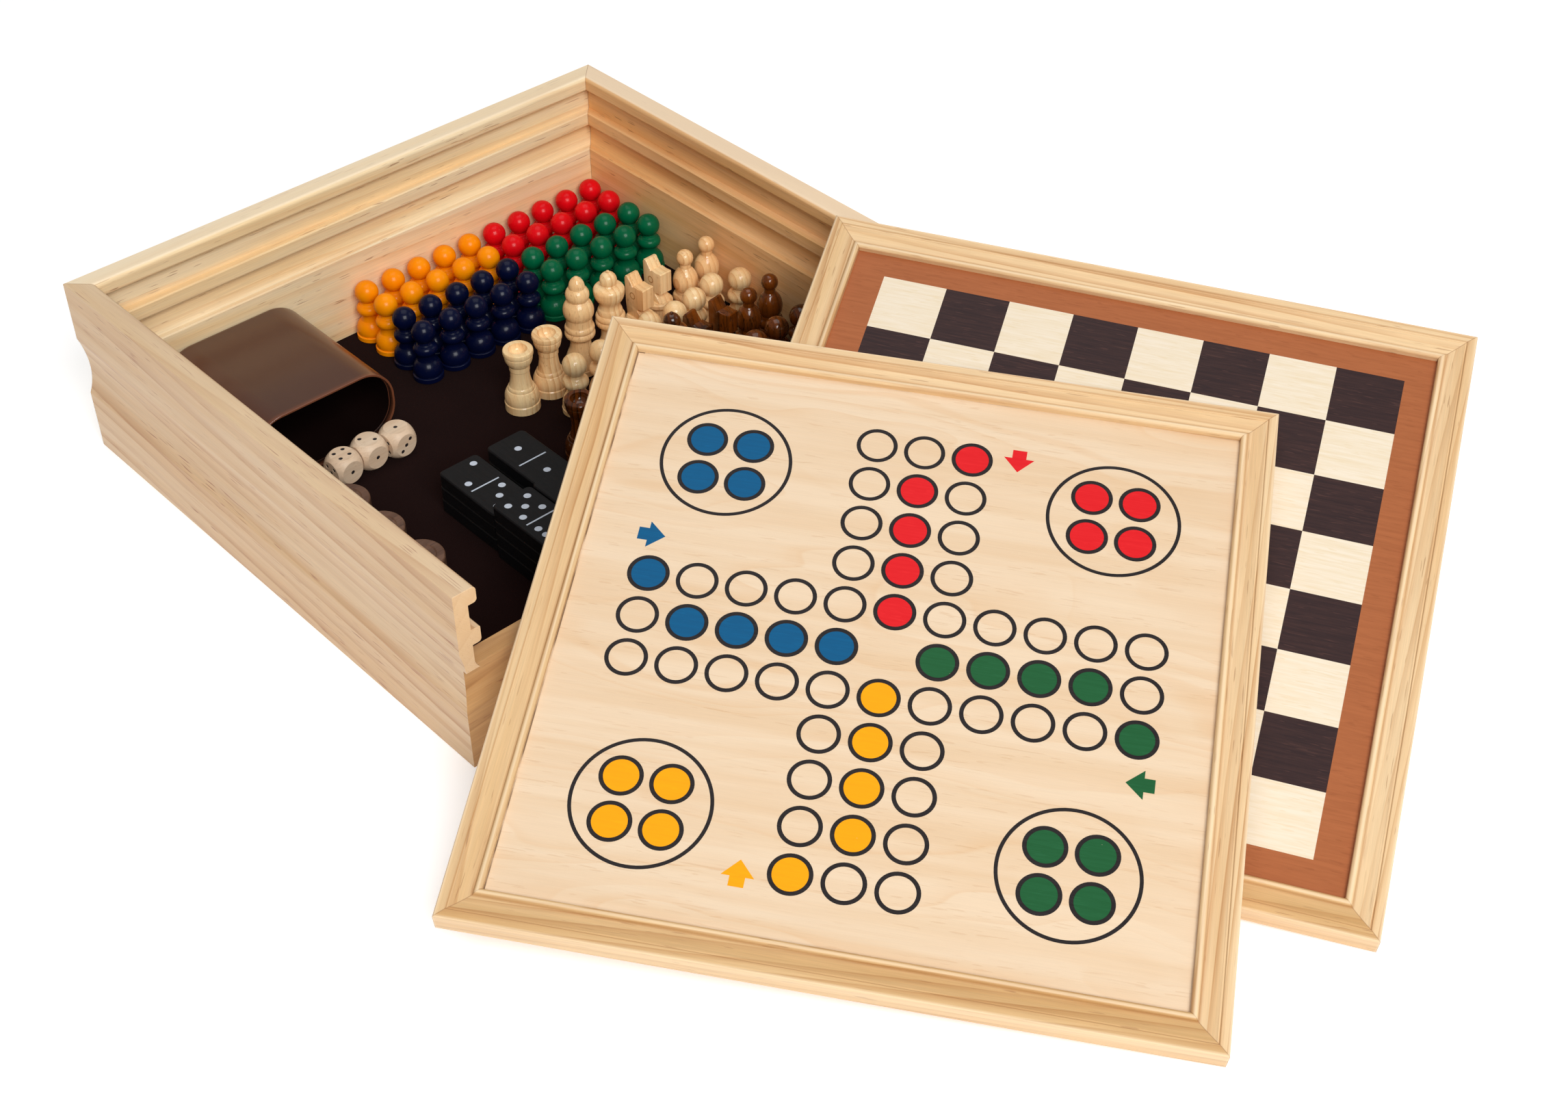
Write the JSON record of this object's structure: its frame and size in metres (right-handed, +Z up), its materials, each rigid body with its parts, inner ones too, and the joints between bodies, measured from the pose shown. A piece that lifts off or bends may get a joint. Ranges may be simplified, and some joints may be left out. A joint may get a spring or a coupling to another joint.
{
  "type": "games compendium box",
  "caption": "open moulded pine games box with two framed playing boards leaning out over its low front rail, and wooden men, pegs, discs, dominoes, dice and a dice cup inside",
  "frame": {"origin": "middle of the box's underside, on the surface it stands on", "axes": "+X to the right seen from the low front rail, +Y to the back, +Z up; the low open front faces -Y"},
  "size_m": [0.4842, 0.5912, 0.1074],
  "materials": {
    "pine": "satin clear varnish",
    "plywood": "raw",
    "lining": "short matt felt",
    "frame_pine": "satin clear varnish",
    "chess_print": "printed, satin",
    "ludo_print": "printed, satin",
    "cup_brown": "glossy moulded",
    "birch": "bare",
    "walnut": "satin",
    "natural_wood": "satin",
    "domino_black": "matt lacquer",
    "lacquer_yellow": "gloss lacquer",
    "lacquer_red": "gloss lacquer",
    "lacquer_navy": "gloss lacquer",
    "lacquer_green": "gloss lacquer",
    "natural_gloss": "gloss varnish",
    "brown_gloss": "gloss stain"
  },
  "bodies": {
    "box": {"rail_left": "pine", "rail_right": "pine", "rail_back": "pine", "rail_front": "pine", "base_panel": "plywood", "floor_lining": "lining", "discs_dark_1": "walnut", "discs_dark_2": "walnut", "discs_dark_3": "walnut", "discs_light_1": "natural_wood", "discs_light_2": "natural_wood", "discs_light_3": "natural_wood", "dominoes_1": "domino_black", "dominoes_2": "domino_black", "dominoes_3": "domino_black", "dominoes_4": "domino_black", "dominoes_5": "domino_black", "dominoes_6": "domino_black", "dominoes_7": "domino_black", "pegs_yellow": "lacquer_yellow", "pegs_red": "lacquer_red", "pegs_navy": "lacquer_navy", "pegs_green": "lacquer_green", "natural_king": "natural_gloss", "natural_queen": "natural_gloss", "natural_bishops": "natural_gloss", "natural_knights": "natural_gloss", "natural_rooks": "natural_gloss", "natural_pawns": "natural_gloss", "brown_king": "brown_gloss", "brown_queen": "brown_gloss", "brown_bishops": "brown_gloss", "brown_knights": "brown_gloss", "brown_rooks": "brown_gloss", "brown_pawns": "brown_gloss"},
    "chess_board": {"chess_frame_front": "frame_pine", "chess_frame_right": "frame_pine", "chess_frame_back": "frame_pine", "chess_frame_left": "frame_pine", "chess_panel": "chess_print"},
    "ludo_board": {"ludo_frame_front": "frame_pine", "ludo_frame_right": "frame_pine", "ludo_frame_back": "frame_pine", "ludo_frame_left": "frame_pine", "ludo_panel": "ludo_print"},
    "dice_cup": {"dice_cup": "cup_brown"},
    "die_1": {"die_1": "birch"},
    "die_2": {"die_2": "birch"},
    "die_3": {"die_3": "birch"}
  },
  "joints": [
    {"name": "chess_board_lift", "type": "slide", "parent": "box", "child": "chess_board", "axis": [0, 0, 1], "range_m": [0, 0.15]},
    {"name": "ludo_board_lift", "type": "slide", "parent": "chess_board", "child": "ludo_board", "axis": [0, 0, 1], "range_m": [0, 0.15]},
    {"name": "dice_cup_lift", "type": "slide", "parent": "box", "child": "dice_cup", "axis": [0, 0, 1], "range_m": [0, 0.12]},
    {"name": "die_1_lift", "type": "slide", "parent": "box", "child": "die_1", "axis": [0, 0, 1], "range_m": [0, 0.12]},
    {"name": "die_2_lift", "type": "slide", "parent": "box", "child": "die_2", "axis": [0, 0, 1], "range_m": [0, 0.12]},
    {"name": "die_3_lift", "type": "slide", "parent": "box", "child": "die_3", "axis": [0, 0, 1], "range_m": [0, 0.12]}
  ]
}
